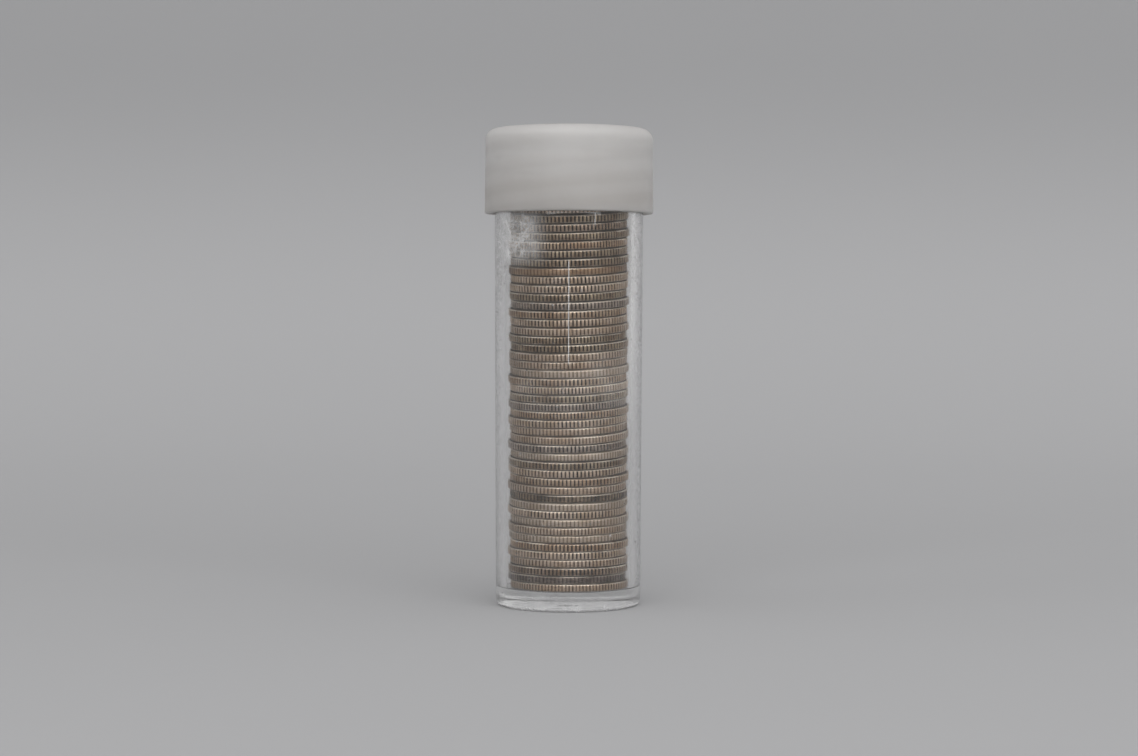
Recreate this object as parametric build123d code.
from build123d import *

import os
from math import cos, hypot, pi, radians, sin, tan

# A clear round coin tube with a screw cap, full of worn reeded coins lying on one another.
# Millimetres. The tube stands on its foot ring at z = 0 with its axis on +Z, and the origin
# is the middle of the foot. The front of the object faces -Y.

# Coins, worn thinner than new ones. Some are of an issue with finer reeds, by number from the floor
COIN_COUNT = 50
COIN_DIAMETER = 17.9
COIN_THICKNESS = 1.161
REED_COUNT = 100
FINE_REED_COUNT = 113
FINE_COINS = (1, 8, 17, 19, 22, 23, 25, 31, 42, 43)
REED_DEPTH = 0.12
REED_LAND_SHARE = 0.5
REED_LEDGE = 0.03
RIM_BEVEL = 0.13
RIM_WIDTH = 0.8
RIM_SLOPE = 0.2
FIELD_DEPTH = 0.16

# How the coins lie: flat on the floor, then leaning more and more towards the front and to
# one side, and looser towards the top
FRONT_LEAN = 6.0
FRONT_LEAN_COINS = 17
SIDE_LEAN = 1.6
SIDE_LEAN_FROM = 12
SIDE_LEAN_TO = 19
COIN_GAP = 0.03
LOOSE_GAP = 0.135
COIN_STRAY = 0.18
COIN_TURN = 137.508

# Tube
BORE_CLEARANCE = 0.45
HEADROOM = 3.24
WALL = 1.58
DRAFT_ANGLE = 0.27
FLOOR = 2.86
FLOOR_ROUNDING = 0.2
FOOT_ROUNDING = 0.8
FOOT_WIDTH = 1.6
FOOT_RECESS = 0.4
GATE_DIAMETER = 2.2
GATE_HEIGHT = 0.2
SHOULDER_ROUNDING = 0.3
MOUTH_ROUNDING = 0.25

# Neck and its two-start screw thread
NECK_WALL = 0.92
NECK_HEIGHT = 10.66
THREAD_STARTS = 2
THREAD_LEAD = 6.6
THREAD_TURNS = 1.1
THREAD_DEPTH = 0.7
THREAD_ROOT_WIDTH = 1.4
THREAD_CREST_WIDTH = 0.6
THREAD_CLEARANCE = 0.2
THREAD_FROM_RIM = 1.1
THREAD_FROM_LIP = 1.6
THREAD_HEADING = 250.0
THREAD_BURY = 0.15
FUSE_TOLERANCE = 0.001

# Cap
CAP_WALL = 1.2
CAP_TOP = 1.5
CAP_DRAFT_ANGLE = 0.5
CAP_EDGE_ROUNDING = 1.6
CAP_INNER_ROUNDING = 0.6
LIP_ROUNDING = 0.3
SEAT_GAP = 0.1
LIP_OVERLAP = 0.5

# Sizes that follow from the ones above
coin_radius = COIN_DIAMETER / 2
reed_root_radius = coin_radius - REED_DEPTH
rim_base_radius = reed_root_radius - REED_LEDGE
rim_outer_radius = rim_base_radius - RIM_BEVEL
rim_inner_radius = rim_outer_radius - RIM_WIDTH
field_radius = rim_inner_radius - RIM_SLOPE
band_half = COIN_THICKNESS / 2 - RIM_BEVEL
top_coin = COIN_COUNT - 1
floor_bore_radius = coin_radius + BORE_CLEARANCE


def coin_lean(index):
    """Degrees by which a coin leans to the front and to the side, counted from 0 at the floor."""
    still_flat = max(1 - index / FRONT_LEAN_COINS, 0) ** 2
    side_share = (index - SIDE_LEAN_FROM) / (SIDE_LEAN_TO - SIDE_LEAN_FROM)
    return FRONT_LEAN * (1 - still_flat), SIDE_LEAN * min(max(side_share, 0), 1)


def coin_height(index):
    """Height of a coin's middle: each one touches the coin below it where it leans most."""
    height = FLOOR + COIN_GAP + COIN_THICKNESS / 2
    for upper in range(1, index + 1):
        front, side = coin_lean(upper)
        lower_front, lower_side = coin_lean(upper - 1)
        gap = COIN_GAP + LOOSE_GAP * (upper / top_coin) ** 2
        height += (COIN_THICKNESS + gap) / cos(radians(hypot(front, side)))
        height += coin_radius * sin(radians(hypot(front - lower_front, side - lower_side)))
    return height


full_lean = hypot(FRONT_LEAN, SIDE_LEAN)
stack_top = coin_height(top_coin) + COIN_THICKNESS / 2 + coin_radius * sin(radians(full_lean))
rim_height = stack_top + HEADROOM
shoulder_height = rim_height - NECK_HEIGHT


def bore_radius(height):
    """Radius of the drafted bore at a height."""
    return floor_bore_radius + (height - FLOOR) * tan(radians(DRAFT_ANGLE))


def outer_radius(height):
    """Radius of the tube's drafted outside at a height."""
    return bore_radius(height) + WALL


neck_radius = bore_radius(rim_height) + NECK_WALL
thread_crest_radius = neck_radius + THREAD_DEPTH
cap_root_radius = thread_crest_radius + THREAD_CLEARANCE
cap_crest_radius = neck_radius + THREAD_CLEARANCE
thread_pitch = THREAD_LEAD / THREAD_STARTS
thread_rise = THREAD_LEAD * THREAD_TURNS
tube_thread_foot = rim_height - THREAD_FROM_RIM - thread_rise
lip_height = shoulder_height - LIP_OVERLAP
cap_thread_foot = lip_height + THREAD_FROM_LIP
cap_thread_lift = cap_thread_foot - tube_thread_foot - thread_pitch / 2
cap_thread_heading = THREAD_HEADING + 360 * cap_thread_lift / THREAD_LEAD
ceiling_height = rim_height + SEAT_GAP
cap_height = ceiling_height + CAP_TOP
lip_radius = cap_root_radius + CAP_WALL
crown_radius = lip_radius - (cap_height - lip_height) * tan(radians(CAP_DRAFT_ANGLE))
foot_outer_radius = outer_radius(0) - FOOT_ROUNDING
foot_inner_radius = foot_outer_radius - FOOT_WIDTH


def lathe(corners):
    """Solid turned about Z from corners given in order as (radius, height, rounding)."""
    points = [Vector(radius, 0, height) for radius, height, _ in corners]
    arcs = []
    entries = []
    exits = []
    for index, (_, _, rounding) in enumerate(corners):
        here = points[index]
        if rounding == 0:
            entries.append(here)
            exits.append(here)
            continue
        back = (points[index - 1] - here).normalized()
        ahead = (points[(index + 1) % len(points)] - here).normalized()
        half_angle = radians(back.get_angle(ahead)) / 2
        run = rounding / tan(half_angle)
        middle = here + (back + ahead).normalized() * (rounding / sin(half_angle) - rounding)
        entries.append(here + back * run)
        exits.append(here + ahead * run)
        arcs.append(ThreePointArc(entries[-1], middle, exits[-1]))
    lines = [Line(exits[index - 1], entries[index]) for index in range(len(points))]
    return revolve(make_face(lines + arcs), axis=Axis.Z)


def thread_ridges(root_radius, crest_radius, foot_height, heading):
    """Ridges of a right-hand thread, one for each start, with the first at a heading."""
    outward = 1 if crest_radius > root_radius else -1
    half_widths = {
        root_radius - outward * THREAD_BURY: THREAD_ROOT_WIDTH / 2,
        root_radius: THREAD_ROOT_WIDTH / 2,
        crest_radius: THREAD_CREST_WIDTH / 2,
    }
    radii = sorted(half_widths)
    lower_side = [(radius, 0, -half_widths[radius]) for radius in radii]
    upper_side = [(radius, 0, half_widths[radius]) for radius in reversed(radii)]
    section = make_face(Polyline(*lower_side, *upper_side, close=True))
    path = Helix(pitch=THREAD_LEAD, height=thread_rise, radius=root_radius)
    ridge = sweep(section, path=path, is_frenet=True)
    starts = [heading + 360 / THREAD_STARTS * start for start in range(THREAD_STARTS)]
    return [Pos(0, 0, foot_height) * Rot(0, 0, angle) * ridge for angle in starts]


def make_tube():
    """Clear tube: foot ring, thick floor, drafted wall, shoulder and threaded neck."""
    body = lathe(
        [
            (0, FLOOR, 0),
            (0, FOOT_RECESS, 0),
            (foot_inner_radius, FOOT_RECESS, 0),
            (foot_inner_radius, 0, 0),
            (outer_radius(0), 0, FOOT_ROUNDING),
            (outer_radius(shoulder_height), shoulder_height, SHOULDER_ROUNDING),
            (neck_radius, shoulder_height, 0),
            (neck_radius, rim_height, MOUTH_ROUNDING),
            (bore_radius(rim_height), rim_height, MOUTH_ROUNDING),
            (floor_bore_radius, FLOOR, FLOOR_ROUNDING),
        ]
    )
    gate = Pos(0, 0, FOOT_RECESS) * Cylinder(
        GATE_DIAMETER / 2, GATE_HEIGHT, align=(Align.CENTER, Align.CENTER, Align.MAX)
    )
    ridges = thread_ridges(neck_radius, thread_crest_radius, tube_thread_foot, THREAD_HEADING)
    return (body + gate).fuse(*ridges, tol=FUSE_TOLERANCE)


def make_cap():
    """Screw cap: drafted skirt with a rounded top edge and the inner thread."""
    body = lathe(
        [
            (0, cap_height, 0),
            (0, ceiling_height, 0),
            (cap_root_radius, ceiling_height, CAP_INNER_ROUNDING),
            (cap_root_radius, lip_height, 0),
            (lip_radius, lip_height, LIP_ROUNDING),
            (crown_radius, cap_height, CAP_EDGE_ROUNDING),
        ]
    )
    ridges = thread_ridges(cap_root_radius, cap_crest_radius, cap_thread_foot, cap_thread_heading)
    return body.fuse(*ridges, tol=FUSE_TOLERANCE)


def make_coin(reed_count):
    """One coin about the origin: a reeded band between two bevelled rims with sunk fields."""
    half = COIN_THICKNESS / 2
    disc = lathe(
        [
            (0, -half + FIELD_DEPTH, 0),
            (field_radius, -half + FIELD_DEPTH, 0),
            (rim_inner_radius, -half, 0),
            (rim_outer_radius, -half, 0),
            (rim_base_radius, -band_half, 0),
            (rim_base_radius, band_half, 0),
            (rim_outer_radius, half, 0),
            (rim_inner_radius, half, 0),
            (field_radius, half - FIELD_DEPTH, 0),
            (0, half - FIELD_DEPTH, 0),
        ]
    )
    reed_angle = 2 * pi / reed_count
    land_angle = reed_angle * REED_LAND_SHARE
    outline = []
    for reed in range(reed_count):
        start = reed * reed_angle
        groove = start + (land_angle + reed_angle) / 2
        outline.append((coin_radius * cos(start), coin_radius * sin(start)))
        outline.append((coin_radius * cos(start + land_angle), coin_radius * sin(start + land_angle)))
        outline.append((reed_root_radius * cos(groove), reed_root_radius * sin(groove)))
    band = extrude(make_face(Polyline(*outline, close=True)), band_half, both=True)
    return disc + band


def coin_place(index):
    """Place of a coin in the stack: its stray in the bore, its lean and its own turn."""
    turn = COIN_TURN * index
    stray_x = COIN_STRAY * cos(radians(turn))
    stray_y = COIN_STRAY * sin(radians(turn))
    front, side = coin_lean(index)
    lean = Pos(0, 0, coin_height(index)) * Rot(front, -side, 0)
    return lean * Pos(stray_x, stray_y, 0) * Rot(0, 0, turn)


def write_piece(shape, name):
    """Write one piece to its own file, without the curves that a reader can work out."""
    export_step(shape, f"parts/{name}.step", write_pcurves=False)


os.makedirs("parts", exist_ok=True)
write_piece(make_tube(), "tube")
write_piece(make_cap(), "cap")
coin = make_coin(REED_COUNT)
fine_coin = make_coin(FINE_REED_COUNT)
for index in range(COIN_COUNT):
    shape = fine_coin if index + 1 in FINE_COINS else coin
    write_piece(coin_place(index) * shape, f"coin_{index + 1:02d}")
